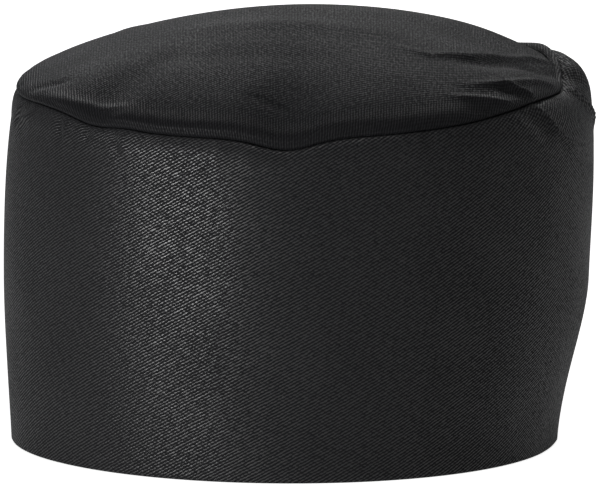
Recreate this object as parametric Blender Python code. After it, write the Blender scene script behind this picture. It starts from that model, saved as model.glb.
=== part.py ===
"""A soft chef's skull cap: a round cloth crown sewn onto a tall double band, drawn in at the back by elastic.

Units are metres, +Z is up and the wearer looks along -Y. The cap stands on the folded bottom edge of its
band at Z = 0, and the origin is under the middle of its box. A bearing is an angle in degrees seen from above:
0 is the front of the cap (-Y), 90 the wearer's left (+X) and 180 the centre back (+Y). Sections are drawn as
points of (radius, height) at one bearing.
"""

import math

import bmesh
import bpy
import numpy as np
from mathutils import Vector

# The band's outer face.
BAND_RADIUS = 0.0926  # at the bottom edge, at the front
BAND_SWELL = 0.0016  # how far the band swells out at half its height
BAND_TUCK = 0.0018  # how far it leans in at its top
BACK_DRAW = 0.0165  # how far the elastic draws the bottom edge in at the centre back
BACK_DRAW_HEIGHT = 0.052  # height at which most of that pull has faded
BACK_DRAW_POWER = 1.7  # above 1, the pull keeps to the back
BACK_DRAW_FADE = 0.88  # share of the pull that fades by that height; the rest fades over the next one
BACK_FULLNESS = 0.0036  # how far the top of the band stands out at the centre back
BACK_FULLNESS_HEIGHTS = (0.020, 0.100)  # where the fullness starts and where it is complete

# The seam between band and crown, and the shoulder below it: its size at the front and at the back.
SEAM_HEIGHT = 0.1136  # mean height
SEAM_TILT = 0.0058  # rise and fall about the mean
SEAM_LOW_BEARING = 18.0
SHOULDER_DROP = (0.0085, 0.0200)
SHOULDER_INSET = (0.0026, 0.0112)
SHOULDER_BEARINGS = (50.0, 130.0)  # to each side, where the front size ends and where the back size begins

# The crown, from its seam up.
CROWN_RISE = 0.0242  # height of the crown's middle above the mean seam
CROWN_ROLL = 0.0050  # how far the crown stands up before it turns inwards
CROWN_ROLL_SHARPNESS = 14.0
CROWN_DOME_POWER = 1.55

# Cloth and seams.
CLOTH = 0.00045  # one layer of twill
CLEARANCE = 0.0003  # between two pieces that lie on each other
FOLD_FLAT = 0.0012  # width of the flat that the folded bottom edge stands on
SEAM_TURN = 0.0013  # radius at which the band turns into its seam allowance
CREASE_TURN = 0.0008  # radius at which the crown turns up out of the seam
ALLOWANCE = 0.0085  # length of the seam allowances below their turn
ALLOWANCE_LEAN = 30.0  # how far the allowances lean inwards from upright, in degrees
END_GAP = 0.0003  # between the band's two ends at the centre back
THREAD = 0.0003  # diameter of the sewing thread
OVERLOCK_DEPTH = 0.0045
OVERLOCK_THICKNESS = 0.00035

# What the band holds.
ELASTIC_THICKNESS = 0.0009
ELASTIC_WIDTH = 0.025
ELASTIC_BOTTOM = 0.0045
ELASTIC_SPAN = 7  # flats of the cap that the elastic covers to each side of the centre back
CASING_MARGIN = 0.0016  # from an edge of the elastic to the stitch row beside it
TACK_WIDTH = 0.0020
TACK_THICKNESS = 0.0004
TACK_MARGIN = 0.0020  # from the elastic's end in to the middle of its tack
INTERFACING_THICKNESS = 0.0005
INTERFACING_BOTTOM = 0.004
INTERFACING_MARGIN = 0.003  # from the interfacing's top up to the shoulder
INTERFACING_SPAN = 16  # flats that it covers to each side of the front

# The labels, sewn into the crown seam at the centre back.
LABEL_THICKNESS = 0.0004
CARE_LABEL = (0.028, 0.036)  # width and length
SIZE_TAB = (0.012, 0.014)
LABEL_DROP = 0.0006  # from the overlock's lowest edge down to the care label
SIZE_TAB_DROP = 0.0030  # from the care label's top edge down to the size tab's

# How finely the shapes are cut.
FLATS = 48  # round the cap
ELASTIC_STEPS = 3
WALL_STEPS = 3  # from the elastic up to the shoulder
SHOULDER_STEPS = 3
TURN_STEPS = 2
DOME_STEPS = 8
DOME_CROWDING = 2.2  # above 1, the crown's steps crowd towards its edge
THREAD_SIDES = 6

LAYER_PITCH = CLOTH + ELASTIC_THICKNESS + 2 * CLEARANCE  # middles of the band's two layers
SEAM_PITCH = CLOTH + CLEARANCE  # middles of two layers that lie together in the seam
FOLD_HEIGHT = (LAYER_PITCH - FOLD_FLAT + CLOTH) / 2  # where the fold ends and the wall begins
FLAT_ANGLE = 360.0 / FLATS

BLACK_TWILL = ("black_twill", (0.020, 0.020, 0.022), 0.85)
GREY_NONWOVEN = ("grey_nonwoven", (0.30, 0.30, 0.31), 0.95)
BLACK_ELASTIC = ("black_elastic", (0.030, 0.030, 0.032), 0.70)
BLACK_THREAD = ("black_thread", (0.024, 0.024, 0.026), 0.55)
WHITE_SATIN = ("white_satin", (0.80, 0.80, 0.78), 0.40)


# ---- The cap's shape ----


def smooth_step(x):
    """0 below 0, 1 above 1, and an S-curve between them."""
    x = min(max(x, 0.0), 1.0)
    return x * x * (3 - 2 * x)


def back_share(bearing):
    """0 at the front, 1 at the centre back."""
    return (1 - math.cos(math.radians(bearing))) / 2


def shoulder(bearing):
    """(drop, inset) of the shoulder, blended from its front size to its back size."""
    from_front = math.degrees(math.acos(1 - 2 * back_share(bearing)))
    front, back = SHOULDER_BEARINGS
    share = smooth_step((from_front - front) / (back - front))
    return [pair[0] + (pair[1] - pair[0]) * share for pair in (SHOULDER_DROP, SHOULDER_INSET)]


def seam_height(bearing):
    return SEAM_HEIGHT - SEAM_TILT * math.cos(math.radians(bearing - SEAM_LOW_BEARING))


def wall_radius(bearing, height):
    """Outer face of the band below its shoulder."""
    back = back_share(bearing)
    share = min(height / SEAM_HEIGHT, 1.0)
    pull = 1 - BACK_DRAW_FADE * smooth_step(height / BACK_DRAW_HEIGHT)
    pull -= (1 - BACK_DRAW_FADE) * smooth_step(height / BACK_DRAW_HEIGHT - 1)
    low, high = BACK_FULLNESS_HEIGHTS
    fullness = BACK_FULLNESS * back * smooth_step((height - low) / (high - low))
    lean = BAND_SWELL * math.sin(math.pi * share) - BAND_TUCK * share**2
    return BAND_RADIUS + lean + fullness - BACK_DRAW * back**BACK_DRAW_POWER * pull


def wall_top():
    """Height up to which the wall is cut at the same heights at every bearing."""
    return SEAM_HEIGHT - SEAM_TILT - max(SHOULDER_DROP)


def wall_heights():
    """The heights at which the wall is cut: at the fold, over the elastic, and from there up."""
    elastic_top = ELASTIC_BOTTOM + ELASTIC_WIDTH
    over_elastic = np.linspace(ELASTIC_BOTTOM, elastic_top, ELASTIC_STEPS + 1)
    above = np.linspace(elastic_top, wall_top(), WALL_STEPS + 1)
    return [FOLD_HEIGHT, *over_elastic.tolist(), *above[1:].tolist()]


def outer_layer(bearing, height):
    """Radius of the middle of the band's outer layer, on its flats between the cut heights."""
    heights = wall_heights()
    radii = [wall_radius(bearing, cut) - CLOTH / 2 for cut in heights]
    return float(np.interp(height, heights, radii))


def turn_centre(bearing):
    """Centre of the bend at which the band turns into its seam allowance."""
    drop, inset = shoulder(bearing)
    radius = wall_radius(bearing, seam_height(bearing) - drop) - inset
    return radius, seam_height(bearing) - SEAM_TURN - CLOTH / 2


def allowance_point(bearing, across, along):
    """A point of the seam allowances: across from the turn's centre towards the cap's axis, along the cloth."""
    radius, height = turn_centre(bearing)
    lean = math.radians(ALLOWANCE_LEAN)
    inward = (-math.cos(lean), math.sin(lean))
    down = (-math.sin(lean), -math.cos(lean))
    return (
        radius + across * inward[0] + along * down[0],
        height + across * inward[1] + along * down[1],
    )


def arc(centre, radius, start, end, steps):
    """Points on an arc, from start to end in degrees."""
    turns = [math.radians(start + (end - start) * i / steps) for i in range(steps + 1)]
    return [(centre[0] + radius * math.cos(t), centre[1] + radius * math.sin(t)) for t in turns]


def band_line(bearing, depth):
    """Middle of one band layer, depth inside the outer one, from the fold up to its raw edge.

    Over the shoulder the layers close up from their pitch in the wall to their pitch in the seam.
    """
    points = [(outer_layer(bearing, height) - depth, height) for height in wall_heights()]
    drop, inset = shoulder(bearing)
    start = seam_height(bearing) - drop
    top = wall_radius(bearing, start)
    seam_depth = min(depth, SEAM_PITCH)
    for i in range(SHOULDER_STEPS + 1):
        turn = math.pi / 2 * i / SHOULDER_STEPS
        under = CLOTH / 2 + depth + (seam_depth - depth) * i / SHOULDER_STEPS
        radius = top - inset * (1 - math.cos(turn)) - under * math.cos(turn)
        points.append((radius, start + (drop - under) * math.sin(turn)))
    radius = SEAM_TURN - seam_depth
    points += arc(turn_centre(bearing), radius, 90, 180 - ALLOWANCE_LEAN, TURN_STEPS)[1:]
    points.append(allowance_point(bearing, radius, ALLOWANCE))
    return points


def band_section(bearing):
    """Middle of the whole strip: down the outer layer, along the flat of the fold and up the inner layer."""
    outer = band_line(bearing, 0.0)
    inner = band_line(bearing, LAYER_PITCH)
    middle = outer[0][0] - LAYER_PITCH / 2
    flat = [(middle + side * FOLD_FLAT / 2, CLOTH / 2) for side in (1, -1)]
    return outer[::-1] + flat + inner


def crown_section(bearing):
    """Middle of the crown, from its raw edge up over the band's turn, out of the seam and in to the middle."""
    radius, height = turn_centre(bearing)
    over = SEAM_TURN + SEAM_PITCH
    points = [allowance_point(bearing, over, ALLOWANCE)]
    points += arc((radius, height), over, 180 - ALLOWANCE_LEAN, 90, TURN_STEPS)
    points += arc((radius, height + over + CREASE_TURN), CREASE_TURN, -90, 0, 2)[1:]
    edge, foot = points[-1]
    rise = SEAM_HEIGHT + CROWN_RISE - CLOTH / 2 - foot - CROWN_ROLL
    for i in range(1, DOME_STEPS + 1):
        share = 1 - (i / DOME_STEPS) ** DOME_CROWDING
        roll = CROWN_ROLL * math.sqrt(1 - share**CROWN_ROLL_SHARPNESS)
        points.append((edge * share, foot + roll + rise * (1 - share**CROWN_DOME_POWER)))
    return points


def axis_offset():
    """How far forward of the origin the cap's axis stands, to bring the middle of its box over the origin."""
    front = max(radius for radius, _ in band_line(0.0, 0.0))
    back = max(radius for radius, _ in band_line(180.0, 0.0))
    return (back - front) / 2


# ---- Turning sections into solids ----


def thickened(line, thickness):
    """Outline of a strip of cloth: the line moved half its thickness to each side, with mitred bends."""
    points = [Vector(point) for point in line]
    runs = [(b - a).normalized() for a, b in zip(points, points[1:])]
    sides = [Vector((-run.y, run.x)) for run in runs]
    mitres = []
    for before, after in zip(sides[:1] + sides, sides + sides[-1:]):
        mitres.append((before + after) / (1 + before.dot(after)) * thickness / 2)
    left = [tuple(point + mitre) for point, mitre in zip(points, mitres)]
    right = [tuple(point - mitre) for point, mitre in zip(points, mitres)]
    return left + right[::-1]


def round_outline(radius, height, diameter):
    """Outline of a thread about a point."""
    return arc((radius, height), diameter / 2, 0, 360, THREAD_SIDES)[:-1]


def place(bearing, radius, height):
    turn = math.radians(bearing)
    return Vector((radius * math.sin(turn), -radius * math.cos(turn) - axis_offset(), height))


def flats_about(middle, span):
    """Bearings of the cap's flats from span before middle to span after it."""
    return [middle + FLAT_ANGLE * i for i in range(-span, span + 1)]


def material(name, colour, roughness):
    found = bpy.data.materials.get(name)
    if found:
        return found
    made = bpy.data.materials.new(name)
    made.use_nodes = True
    shader = made.node_tree.nodes["Principled BSDF"]
    shader.inputs["Base Color"].default_value = (*colour, 1.0)
    shader.inputs["Roughness"].default_value = roughness
    shader.inputs["Metallic"].default_value = 0.0
    made.diffuse_color = (*colour, 1.0)
    return made


def add_object(name, maker, finish):
    """Makes an object from a bmesh, smooth but for its sharp bends."""
    bmesh.ops.recalc_face_normals(maker, faces=maker.faces)
    mesh = bpy.data.meshes.new(name)
    maker.to_mesh(mesh)
    maker.free()
    mesh.shade_smooth()
    mesh.set_sharp_from_angle(angle=math.radians(40))
    mesh.materials.append(material(*finish))
    obj = bpy.data.objects.new(name, mesh)
    bpy.context.scene.collection.objects.link(obj)
    return obj


def bridge(maker, rows):
    """Triangles between each closed row of corners and the next.

    A quad's diagonal always runs up from here to there, so that the facets of layers that lie together match.
    """
    for here, there in zip(rows, rows[1:]):
        for i in range(len(here)):
            j = (i + 1) % len(here)
            if here[j].co.z > here[i].co.z:
                halves = ((here[i], here[j], there[j]), (here[i], there[j], there[i]))
            else:
                halves = ((here[i], here[j], there[i]), (here[j], there[j], there[i]))
            for corners in halves:
                if len(set(corners)) == 3:
                    maker.faces.new(corners)


def close_end(maker, row):
    """Closes an end with a ladder of quads between the two long sides of its outline."""
    last = len(row) - 1
    for i in range(len(row) // 2 - 1):
        maker.faces.new((row[i], row[i + 1], row[last - i - 1], row[last - i]))


def swept_strip(name, finish, bearings, outline_at):
    """A piece whose outline is carried from the first bearing to the last and closed at both."""
    maker = bmesh.new()
    rows = [[maker.verts.new(place(b, *p)) for p in outline_at(b)] for b in bearings]
    bridge(maker, rows)
    close_end(maker, rows[0])
    close_end(maker, rows[-1])
    return add_object(name, maker, finish)


def swept_ring(name, finish, outline_at):
    """A piece whose outline is carried all the way round the cap."""
    maker = bmesh.new()
    bearings = [FLAT_ANGLE * i for i in range(FLATS)]
    rows = [[maker.verts.new(place(b, *p)) for p in outline_at(b)] for b in bearings]
    bridge(maker, rows + rows[:1])
    return add_object(name, maker, finish)


# ---- The pieces ----


def make_crown_panel():
    """The crown, whose sections all end in the same two poles at its middle."""
    maker = bmesh.new()
    rows = []
    poles = None
    for i in range(FLATS):
        outline = thickened(crown_section(FLAT_ANGLE * i), CLOTH)
        pole = len(outline) // 2
        if poles is None:
            poles = [maker.verts.new(place(0.0, 0.0, outline[k][1])) for k in (pole - 1, pole)]
        row = [maker.verts.new(place(FLAT_ANGLE * i, *point)) for point in outline[: pole - 1]]
        row += poles
        row += [maker.verts.new(place(FLAT_ANGLE * i, *point)) for point in outline[pole + 1 :]]
        rows.append(row)
    bridge(maker, rows + rows[:1])
    return add_object("crown_panel", maker, BLACK_TWILL)


def make_side_band():
    """The band: one strip folded along its bottom edge, whose two ends meet at the centre back."""
    stop = math.degrees(END_GAP / 2 / turn_centre(180.0)[0])
    inner_flats = flats_about(0.0, FLATS // 2 - 1)
    bearings = [stop - 180.0] + inner_flats + [180.0 - stop]
    swept_strip("side_band", BLACK_TWILL, bearings, lambda b: thickened(band_section(b), CLOTH))


def make_lining_strip(name, finish, bearings, heights, thickness):
    """A flat strip that lies on the inner face of the band's outer layer."""
    depth = (CLOTH + thickness) / 2 + CLEARANCE
    cuts = [height for height in wall_heights() if heights[0] < height < heights[1]]
    levels = [heights[0]] + cuts + [heights[1]]

    def outline(bearing):
        return thickened([(outer_layer(bearing, z) - depth, z) for z in levels], thickness)

    swept_strip(name, finish, bearings, outline)


def make_interfacing():
    """The non-woven strip that stiffens the band at the front and sides."""
    heights = (INTERFACING_BOTTOM, wall_top() - INTERFACING_MARGIN)
    bearings = flats_about(0.0, INTERFACING_SPAN)
    make_lining_strip("band_interfacing", GREY_NONWOVEN, bearings, heights, INTERFACING_THICKNESS)


def make_elastic():
    """The woven elastic that draws the back in, in its casing between the band's layers."""
    heights = (ELASTIC_BOTTOM, ELASTIC_BOTTOM + ELASTIC_WIDTH)
    bearings = flats_about(180.0, ELASTIC_SPAN)
    make_lining_strip("back_elastic", BLACK_ELASTIC, bearings, heights, ELASTIC_THICKNESS)


def make_crown_seam_thread():
    """The lockstitch of the crown seam, on the crown's side of the allowances."""
    across = SEAM_TURN + SEAM_PITCH + CLOTH / 2 + CLEARANCE + THREAD / 2

    def outline(bearing):
        return round_outline(*allowance_point(bearing, across, THREAD), THREAD)

    swept_ring("crown_seam_thread", BLACK_THREAD, outline)


def overlock_legs():
    """How far across the allowances the middles of the overlock's inner and outer legs lie."""
    off_middle = SEAM_PITCH + CLOTH / 2 + CLEARANCE + OVERLOCK_THICKNESS / 2
    return SEAM_TURN + off_middle, SEAM_TURN - off_middle


def make_overlock():
    """The overlock threads, as one U-shaped edging round the three raw edges of the crown seam."""
    inner, outer = overlock_legs()
    end = ALLOWANCE + CLEARANCE + OVERLOCK_THICKNESS / 2
    corners = [(inner, end - OVERLOCK_DEPTH), (inner, end), (outer, end), (outer, end - OVERLOCK_DEPTH)]

    def outline(bearing):
        line = [allowance_point(bearing, *corner) for corner in corners]
        return thickened(line, OVERLOCK_THICKNESS)

    swept_ring("crown_seam_overlock", BLACK_THREAD, outline)


def make_casing_thread(name, height, outside):
    """A stitch row beside the elastic: needle thread on the outer face, or bobbin thread inside."""
    off_face = CLOTH / 2 + CLEARANCE + THREAD / 2
    offset = off_face if outside else -LAYER_PITCH - off_face

    def outline(bearing):
        return round_outline(outer_layer(bearing, height) + offset, height, THREAD)

    swept_strip(name, BLACK_THREAD, flats_about(180.0, ELASTIC_SPAN), outline)


def make_elastic_tack(name, side):
    """A bar of stitches across one end of the elastic, on the band's outer face."""
    end = 180.0 + side * ELASTIC_SPAN * FLAT_ANGLE
    middle = end - side * math.degrees(TACK_MARGIN / BAND_RADIUS)
    spread = math.degrees(TACK_WIDTH / 2 / BAND_RADIUS)
    low, high = ELASTIC_BOTTOM, ELASTIC_BOTTOM + ELASTIC_WIDTH
    levels = [low] + [height for height in wall_heights() if low < height < high] + [high]
    offset = CLOTH / 2 + CLEARANCE + TACK_THICKNESS / 2

    def outline(bearing):
        return thickened([(outer_layer(bearing, z) + offset, z) for z in levels], TACK_THICKNESS)

    swept_strip(name, BLACK_THREAD, [middle - spread, middle + spread], outline)


def make_centre_back_thread():
    """The lockstitch of the centre back seam, inside the band and above the elastic."""
    low = ELASTIC_BOTTOM + ELASTIC_WIDTH + CLEARANCE + THREAD
    levels = [low] + [height for height in wall_heights() if height > low]
    offset = CLOTH / 2 + CLEARANCE + THREAD / 2
    curve = bpy.data.curves.new("centre_back_seam_thread", "CURVE")
    curve.dimensions = "3D"
    curve.bevel_depth = THREAD / 2
    curve.bevel_resolution = 1
    curve.use_fill_caps = True
    line = curve.splines.new("POLY")
    line.points.add(len(levels) - 1)
    for point, height in zip(line.points, levels):
        point.co = (*place(180.0, outer_layer(180.0, height) - offset, height), 1.0)
    curve.materials.append(material(*BLACK_THREAD))
    obj = bpy.data.objects.new(curve.name, curve)
    bpy.context.scene.collection.objects.link(obj)


def make_flap(name, size, drop, offset, pivot):
    """A flat label that hangs from the pivot, drop below it and offset towards the inside of the cap."""
    width, length = size
    maker = bmesh.new()
    bmesh.ops.create_cube(maker, size=1.0)
    bmesh.ops.scale(maker, vec=(width, LABEL_THICKNESS, length), verts=maker.verts)
    bmesh.ops.translate(maker, vec=(0, -offset, -drop - length / 2), verts=maker.verts)
    obj = add_object(name, maker, WHITE_SATIN)
    obj.parent = pivot


def make_labels():
    """The care label and the size tab sewn onto it, which swing together about the care label's top edge."""
    end = ALLOWANCE + CLEARANCE + OVERLOCK_THICKNESS
    radius, _ = allowance_point(180.0, SEAM_TURN, end)
    _, lowest = allowance_point(180.0, overlock_legs()[1] - OVERLOCK_THICKNESS / 2, end)
    pivot = bpy.data.objects.new("label_pivot", None)
    pivot.location = place(180.0, radius, lowest - LABEL_DROP)
    bpy.context.scene.collection.objects.link(pivot)
    make_flap("care_label", CARE_LABEL, 0.0, 0.0, pivot)
    make_flap("size_tab", SIZE_TAB, SIZE_TAB_DROP, LABEL_THICKNESS + CLEARANCE, pivot)


def main():
    for obj in list(bpy.data.objects):
        bpy.data.objects.remove(obj, do_unlink=True)
    make_crown_panel()
    make_side_band()
    make_interfacing()
    make_elastic()
    make_crown_seam_thread()
    make_overlock()
    make_centre_back_thread()
    lower_row = ELASTIC_BOTTOM - CASING_MARGIN
    upper_row = ELASTIC_BOTTOM + ELASTIC_WIDTH + CASING_MARGIN
    make_casing_thread("casing_needle_thread_lower", lower_row, outside=True)
    make_casing_thread("casing_needle_thread_upper", upper_row, outside=True)
    make_casing_thread("casing_bobbin_thread_lower", lower_row, outside=False)
    make_casing_thread("casing_bobbin_thread_upper", upper_row, outside=False)
    make_elastic_tack("elastic_tack_right", -1)
    make_elastic_tack("elastic_tack_left", 1)
    make_labels()


main()
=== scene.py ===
"""The looks of a soft chef's skull cap: black twill, its seams, creases and gathers, and a plain studio.

Metres, +Z up, the front of the cap towards -Y. A bearing is an angle in degrees seen from above, 0 at the
front and 90 at +X. The cap's surfaces are grids of points worked out by formula from the bearing and the
distance along the cloth.
"""

import math

import bpy
import numpy as np
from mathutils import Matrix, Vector


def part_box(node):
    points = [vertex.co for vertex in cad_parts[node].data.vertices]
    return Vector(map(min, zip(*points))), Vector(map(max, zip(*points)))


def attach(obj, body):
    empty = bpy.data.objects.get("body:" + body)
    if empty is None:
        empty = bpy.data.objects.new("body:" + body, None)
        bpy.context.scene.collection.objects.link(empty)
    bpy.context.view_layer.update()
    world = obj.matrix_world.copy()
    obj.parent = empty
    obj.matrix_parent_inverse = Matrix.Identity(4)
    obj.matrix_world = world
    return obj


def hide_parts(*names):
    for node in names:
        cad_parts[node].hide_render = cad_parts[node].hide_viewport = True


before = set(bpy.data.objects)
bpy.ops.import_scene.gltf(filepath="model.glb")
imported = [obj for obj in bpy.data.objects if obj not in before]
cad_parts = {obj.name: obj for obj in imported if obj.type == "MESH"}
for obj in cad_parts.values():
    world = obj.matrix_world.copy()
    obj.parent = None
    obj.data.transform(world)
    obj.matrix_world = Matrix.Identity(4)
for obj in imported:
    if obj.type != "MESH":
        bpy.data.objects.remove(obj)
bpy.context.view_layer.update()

bl_info = {
    "name": "Skull Cap",
    "version": (1, 0, 0),
    "blender": (4, 5, 0),
    "location": "View3D > Sidebar > Skull Cap",
    "description": "Makes a sewn twill skull cap with its creases, stitching and labels",
    "category": "Add Mesh",
}

CROWN_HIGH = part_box("crown_panel")[1]
ELASTIC_LOW, ELASTIC_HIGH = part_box("back_elastic")
MM = 0.001

# The cap's shape, as the CAD frame has it.
AXIS_Y = -0.00083  # the cap's own axis, just forward of the middle of its box
BAND_RADIUS = 0.0926
SWELL = 0.0016
TUCK = 0.0018
BACK_DRAW = 0.0165
DRAW_HEIGHT = 0.052
DRAW_FADE = 0.88  # the share of the draw that is gone at DRAW_HEIGHT
DRAW_POWER = 1.7
FULLNESS = 0.0036
FULL_FROM = 0.020
FULL_TO = 0.100
SIDE_LEAN = 0.0020  # how far the top of the right side leans in beyond the rest
SIDE_LEAN_BEARING = -60.0
SIDE_LEAN_WIDTH = 34.0
SEAM_MEAN = 0.1136
SEAM_TILT = 0.0058
SEAM_LOW = 18.0
SHOULDER_BEARINGS = (50.0, 130.0)
SHOULDER_DROP = (0.0085, 0.0200)
SHOULDER_INSET = (0.0026, 0.0112)
CLOTH = 0.00045
LAYER_PITCH = 0.00195
SEAM_PITCH = 0.00075
SEAM_TURN = 0.0013
ALLOWANCE = 0.0085
ALLOWANCE_LEAN = 30.0
FOLD_FLAT = 0.0012
CROWN_TOP = CROWN_HIGH.z
CROWN_ROLL = 0.0034  # height of the crown's rolled edge
ROLL_POWER = 10
DOME_POWER = 1.65
WAVE_FADE = 0.34  # share of the crown's radius over which the seam's waves fade
FRONT_BEARING = 24.0
FRONT_WIDTH = 40.0
OVERHANG = 0.0011  # how far the crown hangs over its seam at the front
END_GAP = 0.0003

# Departures of the crown seam from its plain tilt, as (bearing, spread in degrees, height).
SEAM_WAVES = (
    (33.0, 7.5, -3.4 * MM),
    (-26.0, 16.0, 2.2 * MM),
    (-11.0, 6.0, -0.9 * MM),
    (-2.0, 5.0, 0.5 * MM),
    (90.0, 14.0, 1.0 * MM),
    (119.0, 11.0, -2.2 * MM),
    (143.0, 13.0, 3.8 * MM),
    (-118.0, 16.0, 0.9 * MM),
    (-150.0, 14.0, 2.4 * MM),
    (176.0, 12.0, -1.0 * MM),
)


# ---- Plain mathematics on arrays ----


def smooth_step(x):
    """0 below 0, 1 above 1, and the S-curve 3x^2 - 2x^3 between them."""
    x = np.clip(x, 0.0, 1.0)
    return x * x * (3.0 - 2.0 * x)


def bell(x):
    """The bell curve exp(-x^2)."""
    return np.exp(-(x**2))


def turn_between(a, b):
    """The angle from b to a, in degrees from -180 to 180."""
    return (a - b + 180.0) % 360.0 - 180.0


def back_share(bearing):
    """0 at the front and 1 at the centre back: (1 - cos(bearing)) / 2."""
    return (1.0 - np.cos(np.radians(bearing))) / 2.0


def place(bearing, radius, height):
    """Points at a bearing, a radius from the cap's axis and a height."""
    turn = np.radians(bearing)
    parts = np.broadcast_arrays(radius * np.sin(turn), AXIS_Y - radius * np.cos(turn), height)
    return np.stack(parts, axis=-1)


def wander(x, y, seed, count=7):
    """Soft unevenness from -1 to 1: a mean of sine waves of random direction, length and phase."""
    draw = np.random.default_rng(seed)
    angle = draw.uniform(0.0, math.tau, count)
    rate = draw.uniform(0.6, 1.7, count)
    phase = draw.uniform(0.0, math.tau, count)
    total = 0.0
    for a, r, p in zip(angle, rate, phase):
        total = total + np.sin(r * (x * math.cos(a) + y * math.sin(a)) + p)
    return total / count


def crease_line(x, y, points, width, taper=0.35):
    """A ridge along a bent line: a bell across it, fading at both ends over the share taper of its length.

    The distance is to the nearest of the line's straight runs.
    """
    line = np.array(points, float)
    runs = np.linalg.norm(np.diff(line, axis=0), axis=1)
    starts = np.concatenate([[0.0], np.cumsum(runs)])
    nearest = np.full(np.broadcast(x, y).shape, 1e9)
    along = np.zeros_like(nearest)
    for (x0, y0), (x1, y1), run, start in zip(line, line[1:], runs, starts):
        t = ((x - x0) * (x1 - x0) + (y - y0) * (y1 - y0)) / run**2
        t = np.clip(t, 0.0, 1.0)
        gap = np.hypot(x - x0 - t * (x1 - x0), y - y0 - t * (y1 - y0))
        closer = gap < nearest
        nearest = np.where(closer, gap, nearest)
        along = np.where(closer, (start + t * run) / starts[-1], along)
    ends = smooth_step(along / taper) * smooth_step((1.0 - along) / taper)
    return bell(nearest / width) * ends


# ---- The cap's surfaces ----


def seam_waves(bearing):
    """How far the crown seam departs from its tilt: the sum of its waves, each a bell of the bearing."""
    return sum(rise * bell(turn_between(bearing, middle) / spread) for middle, spread, rise in SEAM_WAVES)


def seam_height(bearing):
    """Height of the crown seam: a mean, less a tilt times the cosine from its lowest bearing, plus waves."""
    return SEAM_MEAN - SEAM_TILT * np.cos(np.radians(bearing - SEAM_LOW)) + seam_waves(bearing)


def shoulder(bearing):
    """(drop, inset) of the quarter ellipse by which the band reaches its seam, larger towards the back."""
    near, far = SHOULDER_BEARINGS
    share = smooth_step((np.abs(turn_between(bearing, 0.0)) - near) / (far - near))
    return [a + (b - a) * share for a, b in (SHOULDER_DROP, SHOULDER_INSET)]


def wall_radius(bearing, height):
    """The smooth band: a radius, with a swell (half a sine up the height) less a tuck (the height squared),
    plus fullness at the back, less the elastic's draw, which fades with height."""
    back = back_share(bearing)
    share = np.clip(height / SEAM_MEAN, 0.0, 1.0)
    pull = 1.0 - DRAW_FADE * smooth_step(height / DRAW_HEIGHT)
    pull = pull - (1.0 - DRAW_FADE) * smooth_step(height / DRAW_HEIGHT - 1.0)
    full = FULLNESS * back * smooth_step((height - FULL_FROM) / (FULL_TO - FULL_FROM))
    full = full - SIDE_LEAN * bell(turn_between(bearing, SIDE_LEAN_BEARING) / SIDE_LEAN_WIDTH) * share**8
    return (
        BAND_RADIUS
        + SWELL * np.sin(math.pi * share)
        - TUCK * share**2
        + full
        - BACK_DRAW * back**DRAW_POWER * pull
    )


GATHERS_FROM = 129.0
GATHERS_TO = 231.0
GATHER_GAP = (4.2, 7.4)  # degrees
GATHER_WIDTH = (0.30, 0.42)  # share of the gap
GATHER_RELIEF = (0.7, 1.5)  # mm
GATHER_REACH = (0.040, 0.085)  # height at which a gather has faded
GATHER_FOOT = 0.022
GATHER_LEAN = 5.0  # degrees, at most, between a gather's foot and its end
GATHER_SPREAD = 0.9
GATHERED_HALF = 51.0  # degrees to each side of the centre back


def back_gathers():
    """The folds that the elastic draws: (bearing, half width in degrees, relief, reach), unevenly spaced."""
    draw = np.random.default_rng(14)
    folds = []
    bearing = GATHERS_FROM
    while bearing < GATHERS_TO:
        gap = draw.uniform(*GATHER_GAP)
        bearing += gap
        width, rise = gap * draw.uniform(*GATHER_WIDTH), draw.uniform(*GATHER_RELIEF) * MM
        folds.append((bearing, width, rise, draw.uniform(*GATHER_REACH)))
    return folds


GATHERS = back_gathers()
ROW_GAP = 0.0016  # between the elastic's edge and the stitch row beside it
ROW_LOW = ELASTIC_LOW.z - ROW_GAP
ROW_HIGH = ELASTIC_HIGH.z + ROW_GAP


def gather_relief(bearing, height):
    """The gathers: each a bell round the cap, fading up the band, pinched flat along the two stitch rows."""
    relief = 0.0
    for middle, half, rise, reach in GATHERS:
        share = height / reach
        lean = GATHER_LEAN * math.sin(middle) * np.clip(share, 0.0, 1.0)
        spread = half * (1.0 + GATHER_SPREAD * np.clip(share, 0.0, 1.4))
        across = turn_between(bearing, middle + lean) / spread
        fade = 1.0 - smooth_step((height - GATHER_FOOT) / (reach - GATHER_FOOT))
        relief = relief + rise * bell(across) * fade
    pinch = 1.0 - 0.85 * bell((height - ROW_LOW) / 0.0016) - 0.80 * bell((height - ROW_HIGH) / 0.0026)
    edge = smooth_step((GATHERED_HALF - np.abs(turn_between(bearing, 180.0))) / 5.0)
    return relief * pinch * edge


# Broad swells of the band: (bearing, height in mm, half width in degrees, half height in mm, relief in mm).
BAND_SWELLS = (
    (133.0, 114.0, 12.0, 10.0, 3.2),
    (121.0, 4.0, 10.0, 26.0, 1.2),
    (-128.0, 112.0, 14.0, 9.0, 1.6),
)

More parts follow.
